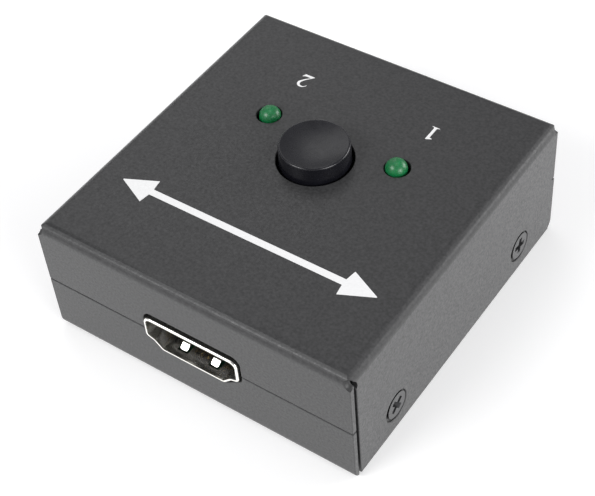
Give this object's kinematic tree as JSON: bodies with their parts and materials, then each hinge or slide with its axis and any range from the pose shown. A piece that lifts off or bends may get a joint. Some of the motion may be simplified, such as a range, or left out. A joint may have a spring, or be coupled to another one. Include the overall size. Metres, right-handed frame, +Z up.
{
  "type": "video switch box",
  "caption": "Small square folded-steel video switch box with a latching push button, green indicator lights and video ports on opposite faces.",
  "frame": {"origin": "centre of the box's footprint on the surface that it stands on", "axes": "+Z up through the lid, -Y out of the face with the single port, +Y out of the face with two ports, +X out of the side next to light 1"},
  "size_m": [0.0478, 0.051, 0.0223],
  "materials": {
    "case_paint": "fine-textured satin black powder coat on folded steel",
    "screw_black": "black zinc, satin",
    "standoff_brass": "turned brass",
    "bright_steel": "bright zinc",
    "board_laminate": "green solder mask on glass laminate",
    "port_nickel": "satin nickel plate",
    "port_insulator": "black moulded thermoplastic",
    "contact_gold": "thin gold plate",
    "button_plastic": "glossy black moulded plastic",
    "slider_plastic": "natural acetal",
    "switch_resin": "black moulded resin",
    "terminal_brass": "silver-plated brass",
    "lens_green": "green diffused epoxy, unlit",
    "lead_tin": "tinned",
    "chip_resin": "black moulding compound",
    "resistor_black": "glazed black",
    "capacitor_tan": "fired tan ceramic body"
  },
  "bodies": {
    "case": {"top_cover": "case_paint", "bottom_cover": "case_paint", "cover_screws": "screw_black", "board_standoffs": "standoff_brass", "board_screws": "bright_steel", "circuit_board": "board_laminate", "front_port_shell": "port_nickel", "front_port_tongue": "port_insulator", "front_port_contacts": "contact_gold", "rear_port_1_shell": "port_nickel", "rear_port_1_tongue": "port_insulator", "rear_port_1_contacts": "contact_gold", "rear_port_2_shell": "port_nickel", "rear_port_2_tongue": "port_insulator", "rear_port_2_contacts": "contact_gold", "switch_spring": "bright_steel", "switch_housing": "switch_resin", "switch_base": "switch_resin", "switch_terminals": "terminal_brass", "latch_pin": "bright_steel", "led_1_lens": "lens_green", "led_1_leads": "lead_tin", "led_2_lens": "lens_green", "led_2_leads": "lead_tin", "switching_chip": "chip_resin", "chip_leads": "lead_tin", "resistors": "resistor_black", "capacitors": "capacitor_tan"},
    "button": {"button_cap": "button_plastic", "switch_plunger": "slider_plastic", "switch_bridges": "contact_gold"}
  },
  "joints": [
    {"name": "button_press", "type": "slide", "parent": "case", "child": "button", "axis": [0, 0, -1], "range_m": [0, 0.0022], "stiffness_N_per_m": 600, "springref_m": -0.0015, "deforming": ["switch_spring"]}
  ]
}
